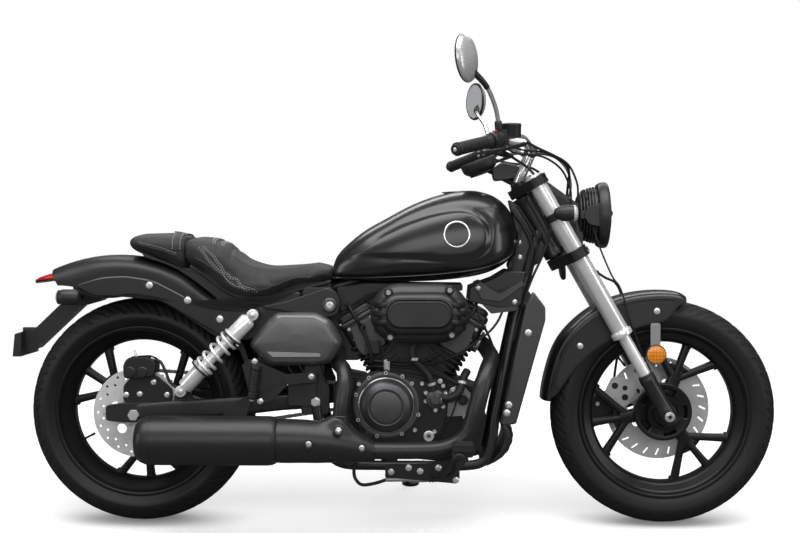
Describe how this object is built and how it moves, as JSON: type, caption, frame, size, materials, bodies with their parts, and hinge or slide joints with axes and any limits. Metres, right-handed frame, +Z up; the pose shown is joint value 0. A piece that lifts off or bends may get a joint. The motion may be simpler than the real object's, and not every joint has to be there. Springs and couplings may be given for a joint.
{
  "type": "cruiser motorcycle",
  "caption": "Cruiser motorcycle with a V-twin engine, teardrop tank, two-piece seat and low muffler, leaning on its side stand.",
  "frame": {"origin": "middle of the parked outline, on the ground", "axes": "+X forward, +Y to the rider's left, +Z up; the bike leans 10 degrees to its left, towards +Y"},
  "size_m": [2.066, 0.8793, 1.319],
  "materials": {
    "frame_black": "satin black paint",
    "engine_black": "black coated cast aluminium",
    "exhaust_black": "satin black heat-proof paint on steel",
    "satin_plastic": "satin black moulding",
    "grey_plastic": "satin dark grey moulding",
    "gloss_black": "gloss black paint",
    "chrome": "bright plated",
    "leather": "black grained cover with pale stitching",
    "red_lens": "red lens",
    "steel": "bare steel",
    "cast_wheel": "satin black cast aluminium",
    "tyre": "black tyre rubber",
    "rubber": "black rubber",
    "caliper_silver": "machined cast aluminium"
  },
  "bodies": {
    "chassis": {"steering_head": "frame_black", "frame": "frame_black", "crankcase": "engine_black", "front_cylinder": "engine_black", "rear_cylinder": "engine_black", "right_engine_cover": "engine_black", "clutch_cover": "engine_black", "left_engine_cover": "engine_black", "water_pump": "engine_black", "air_cleaner": "satin_plastic", "front_header": "exhaust_black", "rear_header": "exhaust_black", "exhaust_collector": "exhaust_black", "muffler": "exhaust_black", "radiator": "engine_black", "radiator_shroud": "satin_plastic", "lower_cowl": "satin_plastic", "fuel_tank": "gloss_black", "filler_cap": "chrome", "rider_seat": "leather", "pillion_seat": "leather", "side_covers": "grey_plastic", "frame_covers": "satin_plastic", "neck_covers": "satin_plastic", "battery_box": "satin_plastic", "rear_fender": "gloss_black", "fender_rails": "satin_plastic", "tail_lamp": "red_lens", "rear_turn_signals": "satin_plastic", "plate_bracket": "satin_plastic", "swingarm": "frame_black", "rear_axle": "steel", "shock_absorbers": "chrome", "shock_springs": "chrome", "rear_caliper": "satin_plastic", "drive_chain": "steel", "foot_controls": "satin_plastic", "passenger_pegs": "satin_plastic"},
    "side_stand": {"side_stand": "frame_black"},
    "rear_wheel": {"rear_tyre": "tyre", "rear_rim": "cast_wheel", "rear_brake_disc": "steel", "rear_sprocket": "steel"},
    "steering": {"yokes": "frame_black", "fork_tubes": "chrome", "fork_lowers": "satin_plastic", "handlebar": "chrome", "grips": "rubber", "mirrors": "chrome", "headlamp": "satin_plastic", "instrument": "satin_plastic", "front_turn_signals": "satin_plastic", "front_fender": "gloss_black", "front_axle": "steel", "front_caliper": "caliper_silver", "front_brake_hose": "rubber"},
    "front_wheel": {"front_tyre": "tyre", "front_rim": "cast_wheel", "front_brake_disc": "steel"}
  },
  "joints": [
    {"name": "rear_wheel_spin", "type": "hinge", "parent": "chassis", "child": "rear_wheel", "pos_m": [-0.691, -0.11126, 0.30298], "axis": [0, 0.9848, -0.1736], "continuous": true},
    {"name": "steering", "type": "hinge", "parent": "chassis", "child": "steering", "pos_m": [0.39438, -0.02487, 0.79293], "axis": [-0.4924, 0.1511, 0.8571], "range_deg": [-34, 34]},
    {"name": "front_wheel_spin", "type": "hinge", "parent": "steering", "child": "front_wheel", "pos_m": [0.729, -0.11171, 0.30047], "axis": [0, 0.9848, -0.1736], "continuous": true},
    {"name": "side_stand", "type": "hinge", "parent": "chassis", "child": "side_stand", "pos_m": [-0.061, -0.00772, 0.14155], "axis": [-0.2351, 0.9696, 0.0678], "range_deg": [0, 118]}
  ]
}
